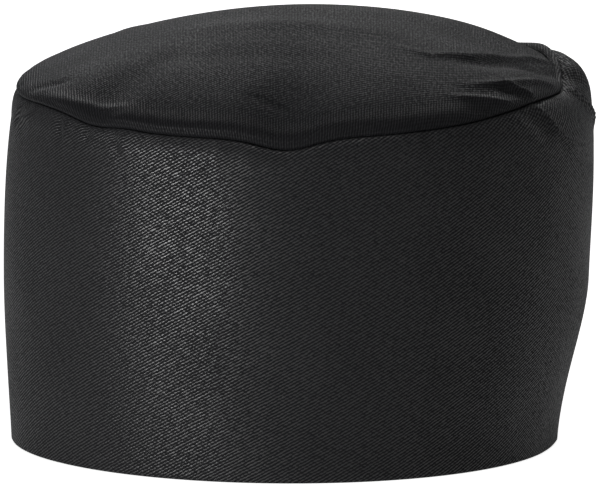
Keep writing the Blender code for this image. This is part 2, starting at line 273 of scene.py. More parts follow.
# Creases on the band: (points as (bearing, height in mm), width in mm, relief in mm).
BAND_CREASES = (
    (((-47.0, 101), (-39.5, 108.5), (-33.0, 112)), 1.4, -1.6),
    (((-44.5, 99), (-37.0, 106.0), (-31.0, 109)), 1.3, 1.0),
    (((-21.0, 112), (-20.0, 107), (-19.2, 101)), 1.3, -1.0),
    (((-18.6, 111), (-17.8, 106), (-17.2, 101)), 1.2, 0.45),
    (((-12.4, 111), (-11.4, 107), (-10.8, 103)), 1.7, -0.8),
    (((-5.0, 110), (-3.6, 105), (-2.0, 100)), 1.3, -0.7),
    (((-2.8, 109), (-1.6, 104), (-0.4, 100)), 1.2, 0.4),
    (((61.0, 110), (62.0, 105), (62.5, 99)), 2.0, -0.4),
    (((87.0, 119), (93.5, 110), (96.0, 104.4), (103.5, 97.7), (107.5, 93)), 1.1, 1.4),
    (((84.0, 118), (91.0, 106), (95.0, 100)), 2.4, -0.9),
    (((114.0, 120), (118.5, 112.5), (121.0, 107.7), (127.0, 102), (132.0, 96)), 1.2, 1.3),
    (((122.0, 120), (127.0, 112), (132.5, 104)), 3.0, -0.8),
    (((148.0, 118), (150.0, 108), (150.5, 97)), 2.4, -1.0),
    (((171.0, 118), (169.5, 107), (168.0, 94)), 2.6, -0.9),
    (((-163.0, 117), (-160.0, 105), (-159.5, 96)), 2.2, -0.9),
    (((-136.0, 117), (-134.0, 108), (-130.0, 100)), 2.0, 0.9),
    (((-104.0, 114), (-101.0, 107), (-99.5, 99)), 1.8, -0.8),
)


PUCKER_FADE = 0.007  # how far below the seam its puckers die out
PUCKER = 0.35 * MM
UNEVENNESS = 0.30 * MM


def band_relief(bearing, height):
    """What the band's outer face adds to the smooth wall: gathers, creases, seam puckers and unevenness."""
    below_seam = seam_height(bearing) - height
    around = np.radians(bearing) * BAND_RADIUS
    relief = gather_relief(bearing, height)
    pucker = wander(around / 0.0021, below_seam / 0.02, 5) * PUCKER
    relief = relief + pucker * np.exp(-np.clip(below_seam, 0, 1) / PUCKER_FADE)
    relief = relief + UNEVENNESS * wander(around / 0.016, height / 0.022, 8) * smooth_step(height / 0.02)
    for middle, height_mm, half, spread, rise in BAND_SWELLS:
        across = turn_between(bearing, middle) / half
        relief = relief + rise * MM * bell(across) * bell((height / MM - height_mm) / spread)
    for points, width, rise in BAND_CREASES:
        line = [(math.radians(b) * BAND_RADIUS / MM, h) for b, h in points]
        relief = relief + rise * MM * crease_line(around / MM, height / MM, line, width)
    return relief


def arc(centre, radius, start, end, steps):
    """Rows of points on arcs about centre, an (R, Z) pair of arrays, from start to end in degrees."""
    turns = np.radians(np.linspace(start, end, steps + 1))[:, None]
    return centre[0] + radius * np.cos(turns), centre[1] + radius * np.sin(turns)


def turn_centre(bearing):
    """Centre of the bend at which the band turns into its allowance, as (radius, height)."""
    drop, inset = shoulder(bearing)
    height = seam_height(bearing)
    start = height - drop
    return wall_radius(bearing, start) - inset, height - SEAM_TURN - CLOTH / 2


def allowance_point(bearing, across, along):
    """(radius, height) in the seam allowances: across from the turn's centre, and along the leaning cloth."""
    radius, height = turn_centre(bearing)
    lean = math.radians(ALLOWANCE_LEAN)
    return (
        radius - across * math.cos(lean) - along * math.sin(lean),
        height + across * math.sin(lean) - along * math.cos(lean),
    )


INNER_RELIEF = 0.35  # how much of the relief the inner layer shows, pressed the other way


def layer_rows(bearing, depth, wall_rows, shoulder_rows, turn_rows, end_rows, creased):
    """One layer of the band, as rows of (radius, height) from the fold up to its raw edge.

    The wall is cut at even heights, crowded a little towards the fold; the shoulder is a quarter ellipse over
    which the layers close up; the turn is an arc; the allowance is straight. depth is how far in the layer
    lies, and creased is 1 with the band's relief and 0 without it.
    """
    drop, inset = shoulder(bearing)
    start = seam_height(bearing) - drop
    fold = (LAYER_PITCH - FOLD_FLAT + CLOTH) / 2
    share = np.linspace(0.0, 1.0, wall_rows)[:, None] ** 1.15
    height = fold + (start - fold) * share
    outward = (1.0 if depth == 0.0 else -INNER_RELIEF) * creased
    radius = wall_radius(bearing, height) - CLOTH / 2 - depth + outward * band_relief(bearing, height)
    rows_r, rows_z = [radius], [height + 0.0 * bearing]
    top = wall_radius(bearing, start)
    seam_depth = min(depth, SEAM_PITCH)
    share = np.linspace(0.0, 1.0, shoulder_rows + 1)[1:, None]
    turn = share * math.pi / 2
    under = CLOTH / 2 + depth + (seam_depth - depth) * share
    height = start + (drop - under) * np.sin(turn)
    bulge = outward * band_relief(bearing, height) * (1.0 - share**8)
    rows_r.append(top - inset * (1.0 - np.cos(turn)) - under * np.cos(turn) + bulge * np.cos(turn))
    rows_z.append(height + bulge * np.sin(turn))
    centre = turn_centre(bearing)
    radius, height = arc(centre, SEAM_TURN - seam_depth, 90.0, 180.0 - ALLOWANCE_LEAN, turn_rows)
    rows_r.append(radius[1:])
    rows_z.append(height[1:])
    for along in np.linspace(0.0, ALLOWANCE, end_rows + 1)[1:]:
        radius, height = allowance_point(bearing, SEAM_TURN - seam_depth, along)
        rows_r.append(radius[None])
        rows_z.append(height[None])
    return np.concatenate(rows_r), np.concatenate(rows_z)


OUTER_ROWS = (46, 18, 5, 2)  # of the wall, the shoulder, the turn and the allowance
INNER_ROWS = (13, 5, 2, 1)
BACK_SEAM_DIP = 0.0007  # how far the cloth sinks at the centre back seam
BACK_SEAM_WIDTH = 0.0011


def strip_points(columns, creased):
    """The folded strip's middle surface: outer layer from its raw edge down, the fold, and inner layer up.

    Returns its bearings, its points, and the number of the row at the top of the fold.
    """
    stop = math.degrees(END_GAP / 2 / BAND_RADIUS)
    bearing = np.linspace(-180.0 + stop, 180.0 - stop, columns)
    outer_r, outer_z = layer_rows(bearing, 0.0, *OUTER_ROWS, creased)
    inner_r, inner_z = layer_rows(bearing, LAYER_PITCH, *INNER_ROWS, creased)
    middle = (outer_r[0] + inner_r[0]) / 2
    half = (outer_r[0] - inner_r[0]) / 2
    bend = np.radians(np.linspace(0.0, 180.0, 7))[1:-1, None]
    flat_r = middle + half * np.cos(bend)
    flat_z = outer_z[0] - (outer_z[0] - CLOTH / 2) * np.sin(bend) ** 0.6
    radius = np.concatenate([outer_r[::-1], flat_r, inner_r])
    height = np.concatenate([outer_z[::-1], flat_z, inner_z])
    ends = bell(np.radians(180.0 - np.abs(bearing)) * BAND_RADIUS / BACK_SEAM_WIDTH)
    inwards = np.where(np.arange(len(radius)) < len(outer_r), 1.0, -0.5)[:, None]
    radius = radius - BACK_SEAM_DIP * ends * inwards
    return bearing, place(bearing, radius, height), len(outer_r) + 2


def band_middle(columns):
    """The strip's points, and its UV in metres round the cap and along the cloth from the fold.

    The lengths along the cloth are those of the strip without its creases, so that the weave stays straight.
    """
    bearing, smooth, fold_row = strip_points(columns, 0.0)
    cut = np.linalg.norm(np.diff(smooth, axis=0), axis=2)
    along = np.concatenate([np.zeros((1, columns)), np.cumsum(cut, axis=0)])
    along = along[fold_row] - along
    around = np.broadcast_to(np.radians(bearing) * BAND_RADIUS, along.shape)
    return strip_points(columns, 1.0)[1], np.stack([around, along], axis=-1)


# Broad swells and hollows of the crown, as (right, near, radius, rise) in mm.
CROWN_SWELLS = (
    (78.0, -26.0, 20.0, -4.0),
    (40.0, -20.0, 26.0, 1.0),
)

# Creases on the crown: (points as (right, near) in mm from the axis as the camera stands, width, relief).
CROWN_CREASES = (
    (((-18.0, 70), (-9.0, 75), (-0.5, 80)), 1.4, -0.3),
    (((-83.0, 34), (-72.0, 51), (-60.0, 62), (-47.0, 69)), 1.8, 0.6),
    (((-86.0, 22), (-80.0, 30), (-70.0, 38)), 2.2, -0.7),
    (((24.0, 33), (42.0, 38), (54.5, 30), (63.0, 19.5), (74.0, -1), (83.0, -9), (94.0, -16)), 1.7, 1.2),
    (((44.0, 44), (60.0, 33), (72.0, 16), (84.0, 2), (94.0, -4)), 3.4, -1.2),
    (((46.0, 57), (54.2, 54.4), (65.7, 46.2), (75.6, 31.4), (88.0, 14)), 1.5, 1.1),
    (((60.0, 52), (68.0, 50), (74.0, 48.5)), 1.6, -0.5),
    (((60.0, 47), (66.0, 46.5), (70.8, 45.2), (75.5, 44.5), (84.0, 46)), 1.2, 1.1),
    (((44.0, 66), (54.2, 62.5), (66.2, 57.6), (70.5, 53.4), (78.0, 49)), 1.5, 1.0),
    (((50.0, 72), (61.0, 66), (70.0, 60), (80.0, 60)), 2.0, -0.8),
    (((-48.0, 8), (-15.0, 20), (20.0, 24), (44.0, 20)), 6.0, 0.7),
    (((-34.0, -8), (8.0, 2), (40.0, -6)), 6.0, 0.5),
    (((-60.0, 30), (-30.0, 44), (5.0, 50), (30.0, 52)), 5.0, -0.25),
    (((36.0, -94), (18.0, -62), (16.0, -45)), 2.4, 1.2),
    (((-22.0, -94), (-14.0, -66), (-15.0, -50)), 2.6, 1.1),
    (((-76.0, -62), (-54.0, -49), (-44.0, -46)), 2.4, 0.7),
)
VIEW_AZIMUTH = 35.0
CROWN_GRAIN = 69.0  # bearing, less the twill's own slope, along which the crown's grain was cut
CROWN_UNEVENNESS = 0.5 * MM
CROWN_PUCKER = 0.4 * MM
CROWN_PUCKER_FADE = 0.05  # share of the radius


def crown_relief(x, y, share):
    """What the crown adds to its smooth dome: soft unevenness, seam puckers and its creases."""
    relief = CROWN_UNEVENNESS * wander(x / 0.020, y / 0.020, 21)
    bearing = np.degrees(np.arctan2(x, -y))
    pucker = wander(np.radians(bearing) * BAND_RADIUS / 0.0023, share, 6) * CROWN_PUCKER
    relief = relief + pucker * np.exp(-(1.0 - share) / CROWN_PUCKER_FADE)
    turn = math.radians(VIEW_AZIMUTH)
    right = (x * math.cos(turn) + y * math.sin(turn)) / MM
    near = (x * math.sin(turn) - y * math.cos(turn)) / MM
    for x0, y0, radius, rise in CROWN_SWELLS:
        relief = relief + rise * MM * bell(np.hypot(right - x0, near - y0) / radius)
    for points, width, rise in CROWN_CREASES:
        relief = relief + rise * MM * crease_line(right, near, points, width)
    return relief


def crown_middle(columns, dome_rows):
    """The crown's middle surface: allowance, the turn over the band, the crease, and the dome.

    Above the crease the height is a roll, sqrt(1 - share^ROLL_POWER), plus a dome, 1 - share^DOME_POWER,
    where share is the radius over the edge's radius. The seam's waves fade inwards as a bell. The front hangs
    over the seam.
    """
    bearing = np.linspace(-180.0, 180.0, columns, endpoint=False)
    radius, height = turn_centre(bearing)
    over = SEAM_TURN + SEAM_PITCH
    rows_r, rows_z = [], []
    for along in (ALLOWANCE, ALLOWANCE / 2):
        r, z = allowance_point(bearing, over, along)
        rows_r.append(r[None])
        rows_z.append(z[None])
    r, z = arc((radius, height), over, 180.0 - ALLOWANCE_LEAN, 90.0, 4)
    rows_r.append(r)
    rows_z.append(z)
    front = bell(turn_between(bearing, FRONT_BEARING) / FRONT_WIDTH)
    crease = 0.0006 + 0.0003 * front
    r, z = arc((radius, height + over + crease), crease, -90.0, 0.0, 3)
    rows_r.append(r[1:])
    rows_z.append(z[1:])
    edge, foot = rows_r[-1][-1], rows_z[-1][-1]
    share = 1.0 - (np.linspace(0.0, 1.0, dome_rows + 1)[1:-1, None]) ** 2.0
    waves = seam_waves(bearing)
    rise = CROWN_TOP - CLOTH / 2 - (foot - waves) - CROWN_ROLL
    roll = CROWN_ROLL * np.sqrt(1.0 - share**ROLL_POWER)
    overhang = OVERHANG * (0.3 + 0.7 * front)
    overhang = overhang * bell((1.0 - share - 0.03) / 0.03) * smooth_step((1.0 - share) / 0.012)
    rows_r.append(edge * share + overhang)
    waves = waves * (1.0 - bell((1.0 - share) / WAVE_FADE))
    rows_z.append(foot - waves + roll + rise * (1.0 - share**DOME_POWER))
    radius, height = np.concatenate(rows_r), np.concatenate(rows_z)
    points = place(bearing, radius, height)
    along = np.ones(radius.shape)
    along[-(dome_rows - 1) :] = share
    relief = crown_relief(points[..., 0], points[..., 1] - AXIS_Y, along) * smooth_step((1 - along) / 0.014)
    normal = grid_normals(points, wrap=True)
    normal = normal * np.sign(normal[-1:, :, 2:])
    points = points + normal * relief[..., None]
    pole = np.array([0.0, AXIS_Y, CROWN_TOP - CLOTH / 2])
    pole[2] += crown_relief(0.0, 0.0, 0.0)
    return bearing, points, pole


# ---- Meshes from arrays of points ----


def make_object(name, vertices, faces, body, uv=None):
    """Builds a smooth mesh from arrays of vertices and quads, in which a triangle repeats its last corner."""
    triangle = faces[:, 2] == faces[:, 3]
    polygons = faces[~triangle].tolist() + faces[triangle][:, :3].tolist()
    mesh = bpy.data.meshes.new(name)
    mesh.from_pydata(vertices.tolist(), [], polygons)
    if uv is not None:
        layer = mesh.uv_layers.new(name="cloth")
        corner = np.empty(len(mesh.loops), dtype=np.int32)
        mesh.loops.foreach_get("vertex_index", corner)
        layer.data.foreach_set("uv", uv.astype(np.float32)[corner].ravel())
    mesh.shade_smooth()
    mesh.update()
    obj = bpy.data.objects.new(name, mesh)
    bpy.context.scene.collection.objects.link(obj)
    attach(obj, body)
    return obj


def grid_normals(points, wrap):
    """Unit normals of a grid: the cross product of its differences down the rows and across the columns."""
    down = np.gradient(points, axis=0)
    if wrap:
        across = (np.roll(points, -1, axis=1) - np.roll(points, 1, axis=1)) / 2
    else:
        across = np.gradient(points, axis=1)
    normal = np.cross(across, down)
    return normal / np.maximum(np.linalg.norm(normal, axis=2, keepdims=True), 1e-12)


def quad_grid(rows, columns, wrap, ring=False):
    """Corner numbers of a grid's quads, closed round its columns with wrap and round its rows with ring."""
    i = np.arange(rows if ring else rows - 1)[:, None]
    j = np.arange(columns if wrap else columns - 1)[None, :]
    n, k = (i + 1) % rows, (j + 1) % columns
    corners = (i * columns + j, i * columns + k, n * columns + k, n * columns + j)
    return np.stack(np.broadcast_arrays(*corners), axis=-1).reshape(-1, 4)


def cloth_shell(points, uv, thickness, wrap, pole=None, pole_uv=None):
    """A closed shell of cloth: the grid moved half its thickness to both sides, with rims at its open edges.

    A pole closes the last row to a point. Returns vertices, faces and UVs.
    """
    rows, columns = points.shape[:2]
    offset = grid_normals(points, wrap) * thickness / 2
    sides = [(points + offset).reshape(-1, 3), (points - offset).reshape(-1, 3)]
    count = rows * columns
    grid = quad_grid(rows, columns, wrap)
    faces = [grid, grid[:, ::-1] + count]
    j = np.arange(columns if wrap else columns - 1)
    k = (j + 1) % columns
    rim_rows = [0] if pole is not None else [0, rows - 1]
    for row in rim_rows:
        a, b = row * columns + j, row * columns + k
        rim = np.stack([a, a + count, b + count, b], axis=1)
        faces.append(rim if row == 0 else rim[:, ::-1])
    if not wrap:
        i = np.arange(rows - 1)
        for column in (0, columns - 1):
            a, b = i * columns + column, (i + 1) * columns + column
            rim = np.stack([a, b, b + count, a + count], axis=1)
            faces.append(rim if column == 0 else rim[:, ::-1])
    vertices = np.concatenate(sides)
    coordinates = np.concatenate([uv.reshape(-1, 2)] * 2)
    if pole is not None:
        last = (rows - 1) * columns
        top, under = 2 * count, 2 * count + 1
        vertices = np.concatenate([vertices, [pole + [0, 0, thickness / 2], pole - [0, 0, thickness / 2]]])
        coordinates = np.concatenate([coordinates, [pole_uv, pole_uv]])
        above, below = (top, under) if offset[-1, 0, 2] > 0 else (under, top)
        fan = [last + j, last + k, np.full_like(j, above), np.full_like(j, above)]
        faces.append(np.stack(fan, axis=1))
        fan = [last + k + count, last + j + count, np.full_like(j, below), np.full_like(j, below)]
        faces.append(np.stack(fan, axis=1))
    return vertices, np.concatenate(faces), coordinates


def turned_outward(vertices, faces):
    """The faces, turned round if the shell's signed volume is negative."""
    a, b, c, d = (vertices[faces[:, k]] for k in range(4))
    volume = np.sum(np.cross(a, b) * c) + np.sum(np.cross(a, c) * d)
    if volume > 0:
        return faces
    triangle = faces[:, 2] == faces[:, 3]
    turned = faces[:, [3, 2, 1, 0]]
    turned[triangle] = faces[triangle][:, [1, 0, 2, 2]]
    return turned


def tube(path, side, radius, corners, closed):
    """A thread: circles of the radius carried along a path, each turned so that it starts towards side."""
    if closed:
        along = (np.roll(path, -1, axis=0) - np.roll(path, 1, axis=0)) / 2
    else:
        along = np.gradient(path, axis=0)
    along = along / np.linalg.norm(along, axis=1, keepdims=True)
    side = side - along * np.sum(side * along, axis=1, keepdims=True)
    side = side / np.linalg.norm(side, axis=1, keepdims=True)
    other = np.cross(along, side)
    turn = np.linspace(0.0, math.tau, corners, endpoint=False)
    ring = side[:, None] * np.cos(turn)[:, None] + other[:, None] * np.sin(turn)[:, None]
    points = path[:, None] + radius * ring
    rows = len(path)
    vertices = points.reshape(-1, 3)
    if closed:
        return vertices, quad_grid(rows, corners, wrap=True, ring=True)
    faces = [quad_grid(rows, corners, wrap=True)]
    tips = np.array([path[0], path[-1]])
    j = np.arange(corners)
    k = (j + 1) % corners
    first, last = len(vertices), len(vertices) + 1
    end = (rows - 1) * corners
    faces.append(np.stack([k, j, np.full_like(j, first), np.full_like(j, first)], axis=1))
    faces.append(np.stack([end + j, end + k, np.full_like(j, last), np.full_like(j, last)], axis=1))
    return np.concatenate([vertices, tips]), np.concatenate(faces)


def joined(parts):
    """Several (vertices, faces) pairs as one."""
    vertices, faces, count = [], [], 0
    for some_vertices, some_faces in parts:
        vertices.append(some_vertices)
        faces.append(turned_outward(some_vertices, some_faces) + count)
        count += len(some_vertices)
    return np.concatenate(vertices), np.concatenate(faces)


# ---- Stitching ----

THREAD = 0.00030
STITCH = 0.0026
POINTS_PER_STITCH = 8
OVERLOCK_LOOPS = 210


def stitch_lift(distance, length):
    """Height of a thread above the cloth: it arches over each stitch and sinks in at its holes."""
    arch = np.abs(np.sin(math.pi * distance / length))
    return THREAD * (1.15 * arch**0.5 - 0.75)


def outer_face(bearing, height):
    """Radius of the band's outer face."""
    return wall_radius(bearing, height) + band_relief(bearing, height)


def inner_face(bearing, height):
    """Radius of the inner layer's face towards the head."""
    return wall_radius(bearing, height) - CLOTH - LAYER_PITCH - INNER_RELIEF * band_relief(bearing, height)


def casing_row(height, outside):
    """One stitch row beside the elastic: a thread carried along the cloth's face at one height."""
    half = 0.5 * (ELASTIC_HIGH.x - ELASTIC_LOW.x) / BAND_RADIUS
    half = math.degrees(math.asin(min(half, 1.0))) + 1.0
    count = int(2 * math.radians(half) * BAND_RADIUS / STITCH) * POINTS_PER_STITCH
    bearing = np.linspace(180.0 - half, 180.0 + half, count)
    around = np.radians(bearing) * BAND_RADIUS
    lift = stitch_lift(around, STITCH)
    wobble = 0.00012 * np.sin(around / 0.0031)
    if outside:
        radius = outer_face(bearing, height) + lift
    else:
        radius = inner_face(bearing, height) - lift
    path = place(bearing, radius, height + wobble)
    return tube(path, place(bearing, 1.0, 0.0) - [0, AXIS_Y, 0], THREAD / 2, 6, closed=False)


def tack_bar(bearing, outside):
    """A bar tack over the elastic's end: a zigzag thread up the cloth's face, an arcsine of a sine."""
    width, pitch, margin = 0.002, 0.0009, 0.0005
    low, high = ELASTIC_LOW.z + margin, ELASTIC_HIGH.z - margin
    turns = int((high - low) / pitch)
    step = np.linspace(0.0, turns, turns * 10)
    swing = np.arcsin(0.96 * np.sin(math.tau * step)) / (math.pi / 2)
    where = bearing + swing * math.degrees(width / 2 / BAND_RADIUS)
    height = low + (high - low) * step / turns
    lift = THREAD * (0.55 - 0.9 * np.abs(swing) ** 8)
    if outside:
        radius = outer_face(where, height) + lift
    else:
        radius = inner_face(where, height) - lift
    return tube(place(where, radius, height), place(where, 1.0, 0.0), THREAD / 2, 5, closed=False)


def crown_seam_row():
    """The crown seam's lockstitch: a closed thread along the crown's side of the allowances."""
    count = round(math.tau * BAND_RADIUS / STITCH)
    bearing = np.linspace(-180.0, 180.0, count * POINTS_PER_STITCH, endpoint=False)
    lift = stitch_lift((bearing + 180.0) / 360.0 * count, 1.0)
    across = SEAM_TURN + SEAM_PITCH + CLOTH / 2 + lift
    radius, height = allowance_point(bearing, across, 0.0004)
    return tube(place(bearing, radius, height), place(bearing, -1.0, 0.4), THREAD / 2, 6, closed=True)


def overlock_loops():
    """The overlock's looper thread: it climbs one side of the raw edges as sine squared, and wraps over."""
    step = np.linspace(0.0, OVERLOCK_LOOPS, OVERLOCK_LOOPS * 20, endpoint=False)
    bearing = step / OVERLOCK_LOOPS * 360.0 - 180.0 + 0.35 * np.sin(2 * math.tau * step)
    swing = np.sin(math.tau * step)
    half = SEAM_PITCH + CLOTH / 2 + THREAD * 0.45
    across = SEAM_TURN + half * np.tanh(3.2 * swing) / math.tanh(3.2)
    along = ALLOWANCE + 0.00018 - 0.0046 * swing**2
    radius, height = allowance_point(bearing, across, along)
    return tube(place(bearing, radius, height), place(bearing, -0.5, -0.9), THREAD / 2, 5, closed=True)


def overlock_chain():
    """The overlock's needle thread: a closed row of stitches near the loops' tops, on the crown's side."""
    bearing = np.linspace(-180.0, 180.0, OVERLOCK_LOOPS * POINTS_PER_STITCH, endpoint=False)
    lift = stitch_lift((bearing + 180.0) / 360.0 * OVERLOCK_LOOPS, 1.0)
    across = SEAM_TURN + SEAM_PITCH + CLOTH / 2 + lift + THREAD * 0.5
    radius, height = allowance_point(bearing, across, ALLOWANCE - 0.0038)
    return tube(place(bearing, radius, height), place(bearing, -1.0, 0.4), THREAD / 2, 5, closed=True)


# ---- Labels ----


RIBBON = 0.00016
RIBBON_PITCH = 0.00042  # between the middles of a label's two leaves


def folded_ribbon(width, length, top, centre, curl):
    """A ribbon folded double and hanging from its two ends: down the front, round the fold and up the back.

    Both leaves curl: sideways as the square of the distance from the middle, and downwards as a sine of the
    distance below the top.
    """
    leaf, rows = RIBBON_PITCH, 34
    down = np.linspace(0.0, 1.0, rows)
    bend = np.linspace(0.0, math.pi, 7)[1:-1]
    below = np.concatenate([down * length, length + leaf / 2 * np.sin(bend), down[::-1] * length])
    depth = np.concatenate([np.full(rows, -0.5), -0.5 * np.cos(bend), np.full(rows, 0.5)]) * leaf
    opening = 1.0 + 2.2 * np.sin(math.pi * np.clip(below / length, 0, 1))
    x = np.linspace(-0.5, 0.5, 25)[None, :]
    sway = np.sin(math.pi * below / length * 0.9)[:, None]
    y = (depth * opening)[:, None] - curl * sway - curl * 1.6 * (x * 2) ** 2 * (below / length)[:, None]
    below = below[:, None]
    points = np.stack(np.broadcast_arrays(centre[0] + x * width, centre[1] + y, top - below), axis=-1)
    uv = np.stack(np.broadcast_arrays(x * width, below), axis=-1)
    return cloth_shell(points, uv, RIBBON, wrap=False)


# ---- Materials ----


def hex_colour(code):
    """A linear colour from an sRGB hex code."""
    parts = [int(code[k : k + 2], 16) / 255 for k in (1, 3, 5)]
    linear = [p / 12.92 if p <= 0.04045 else ((p + 0.055) / 1.055) ** 2.4 for p in parts]
    return (*linear, 1.0)


def add_node(tree, kind, settings=None, **links):
    """Adds a node, sets its properties, and sets or links its inputs by name or number (i0, i1...)."""
    node = tree.nodes.new(kind)
    for name, value in (settings or {}).items():
        setattr(node, name, value)
    for name, value in links.items():
        key = int(name[1:]) if name[0] == "i" and name[1:].isdigit() else name.replace("_", " ")
        socket = node.inputs[key]
        if isinstance(value, bpy.types.NodeSocket):
            tree.links.new(value, socket)
        else:
            socket.default_value = value
    return node


def new_material(name):
    """An empty material and its tree, with a Principled shader on the output."""
    material = bpy.data.materials.new(name)
    material.use_nodes = True
    tree = material.node_tree
    tree.nodes.clear()
    output = tree.nodes.new("ShaderNodeOutputMaterial")
    shader = tree.nodes.new("ShaderNodeBsdfPrincipled")
    tree.links.new(shader.outputs[0], output.inputs[0])
    return material, tree, shader


def math_node(tree, operation, a, b=None, c=None):
    """The output of a Math node."""
    links = {"i0": a}
    if b is not None:
        links["i1"] = b
    if c is not None:
        links["i2"] = c
    return add_node(tree, "ShaderNodeMath", {"operation": operation}, **links).outputs[0]


def object_place(tree):
    """The Object coordinates of the point being shaded."""
    return add_node(tree, "ShaderNodeTexCoord").outputs["Object"]


def noise(tree, where, scale, detail):
    """Soft noise from 0 to 1 at a place."""
    return add_node(tree, "ShaderNodeTexNoise", Vector=where, Scale=scale, Detail=detail).outputs[0]


def blend_colour(tree, shader, factor, low, high):
    """Blends the base colour from one hex code to another by a factor."""
    colours = {"i6": hex_colour(low), "i7": hex_colour(high)}
    mix = add_node(tree, "ShaderNodeMix", {"data_type": "RGBA"}, Factor=factor, **colours)
    tree.links.new(mix.outputs[2], shader.inputs["Base Color"])


def raise_bumps(tree, shader, strength, depth, height):
    """Bumps the surface by a height from 0 to 1, times a depth in metres."""
    bump = add_node(tree, "ShaderNodeBump", Strength=strength, Distance=depth, Height=height)
    tree.links.new(bump.outputs[0], shader.inputs["Normal"])


PRESSED_RADIUS = 0.088  # of the crown, inside which the iron has flattened its weave
TIGHT_FROM, TIGHT_TO = 0.104, 0.118  # heights between which the band's weave is drawn flat


def twill_material(look, name, fine_inside, gloss, roughness):
    """Black polyester and cotton twill, piece dyed: diagonal wales of short smooth floats, which catch the
    light, with grooves between them painted darker as shade.

    The wales are flattened to a fine grain within the radius fine_inside of the UV's origin, as pressing
    leaves them, or, where that is 0, over the shoulder near the top, where the cloth is drawn tight. gloss
    and roughness each give the value in the grooves and on the wales.
    """
    material, tree, shader = new_material(name)
    pitch, angle = look.twill_pitch, look.twill_angle
    uv = add_node(tree, "ShaderNodeUVMap", {"uv_map": "cloth"}).outputs[0]
    turned = add_node(tree, "ShaderNodeMapping", {"vector_type": "POINT"}, Vector=uv, Rotation=(0, 0, -angle))
    parts = add_node(tree, "ShaderNodeSeparateXYZ", Vector=turned.outputs[0])
    along, across = parts.outputs[0], parts.outputs[1]
    drift = math_node(tree, "SUBTRACT", noise(tree, turned.outputs[0], 420.0, 2.0), 0.5)
    across = math_node(tree, "MULTIPLY_ADD", drift, pitch * 0.55, across)
    wale_phase = math_node(tree, "MULTIPLY", across, math.tau / pitch)
    wale = math_node(tree, "MULTIPLY_ADD", math_node(tree, "SINE", wale_phase), 0.5, 0.5)
    float_phase = math_node(tree, "MULTIPLY", along, math.tau / (pitch * 1.5))
    float_phase = math_node(tree, "MULTIPLY_ADD", wale_phase, 0.37, float_phase)
    floats = math_node(tree, "MULTIPLY_ADD", math_node(tree, "SINE", float_phase), 0.5, 0.5)
    point = {"vector_type": "POINT"}
    yarn = add_node(tree, "ShaderNodeMapping", point, Vector=turned.outputs[0], Scale=(450.0, 1300.0, 1.0))
    slub = noise(tree, yarn.outputs[0], 1.0, 2.0)
    if fine_inside > 0.0:
        reach = add_node(tree, "ShaderNodeVectorMath", {"operation": "LENGTH"}, i0=uv).outputs["Value"]
        limits = {"i1": fine_inside - 0.004, "i2": fine_inside, "i3": 0.2}
    else:
        reach = add_node(tree, "ShaderNodeSeparateXYZ", Vector=object_place(tree)).outputs[2]
        limits = {"i1": TIGHT_FROM, "i2": TIGHT_TO, "i3": 1.0, "i4": 0.25}
    weave = add_node(tree, "ShaderNodeMapRange", Value=reach, **limits).outputs[0]
    wale = math_node(tree, "MULTIPLY_ADD", math_node(tree, "SUBTRACT", wale, 0.5), weave, 0.5)
    grain = math_node(tree, "SUBTRACT", noise(tree, uv, 1500.0, 1.0), 0.5)
    shade = math_node(tree, "MULTIPLY_ADD", floats, 0.22, math_node(tree, "MULTIPLY", wale, 0.62))
    shade = math_node(tree, "MULTIPLY_ADD", grain, look.grain, shade)
    shade = math_node(tree, "MULTIPLY_ADD", math_node(tree, "SUBTRACT", slub, 0.5), look.slub, shade)
    cloudy = math_node(tree, "SUBTRACT", noise(tree, uv, 38.0, 3.0), 0.5)
    shade = math_node(tree, "MULTIPLY_ADD", cloudy, 0.25, shade)
    smooth = {"interpolation_type": "SMOOTHSTEP"}
    shade = add_node(tree, "ShaderNodeMapRange", smooth, Value=shade, i1=0.24, i2=0.76).outputs[0]
    # The base colour runs from the grooves' painted shade to the wales' colour, by the wale pattern and the
    # cloth's random tone.
    blend_colour(tree, shader, shade, look.groove_shade, look.wale)
    for socket, (low, high) in (("Roughness", roughness), ("Specular IOR Level", gloss)):
        value = add_node(tree, "ShaderNodeMapRange", Value=shade, i3=low, i4=high)
        tree.links.new(value.outputs[0], shader.inputs[socket])
    height = math_node(tree, "MULTIPLY_ADD", math_node(tree, "SUBTRACT", slub, 0.5), 0.5, shade)
    raise_bumps(tree, shader, 1.0, look.relief, height)
    shader.inputs["Sheen Weight"].default_value = look.sheen
    shader.inputs["Sheen Roughness"].default_value = 0.42
    shader.inputs["Sheen Tint"].default_value = hex_colour("#C8CBD2")
    return material


def thread_material(look):
    """Spun polyester thread, dyed black: a fine twist that gives it a slight silky sheen."""
    material, tree, shader = new_material("black_spun_polyester_thread")
    twist = noise(tree, object_place(tree), 5200.0, 2.0)
    blend_colour(tree, shader, twist, "#0E0E10", look.thread)
    raise_bumps(tree, shader, 0.7, 0.00006, twist)
    shader.inputs["Roughness"].default_value = 0.5
    shader.inputs["Sheen Weight"].default_value = 0.15
    return material


def satin_material(look):
    """White polyester satin ribbon: very fine lengthwise floats that give a soft lustre, with faint ribs."""
    material, tree, shader = new_material("white_polyester_satin")
    uv = add_node(tree, "ShaderNodeUVMap", {"uv_map": "cloth"}).outputs[0]
    fine = add_node(tree, "ShaderNodeMapping", {"vector_type": "POINT"}, Vector=uv, Scale=(4200, 900, 1))
    floats = noise(tree, fine.outputs[0], 1.0, 2.0)
    parts = add_node(tree, "ShaderNodeSeparateXYZ", Vector=uv)
    ribs = math_node(tree, "SINE", math_node(tree, "MULTIPLY", parts.outputs[1], math.tau / 0.0007))
    height = math_node(tree, "MULTIPLY_ADD", ribs, 0.25, floats)
    blend_colour(tree, shader, floats, "#CFCDC6", look.label)
    raise_bumps(tree, shader, 0.6, 0.00005, height)
    shader.inputs["Roughness"].default_value = 0.38
    shader.inputs["Sheen Weight"].default_value = 0.2
    return material


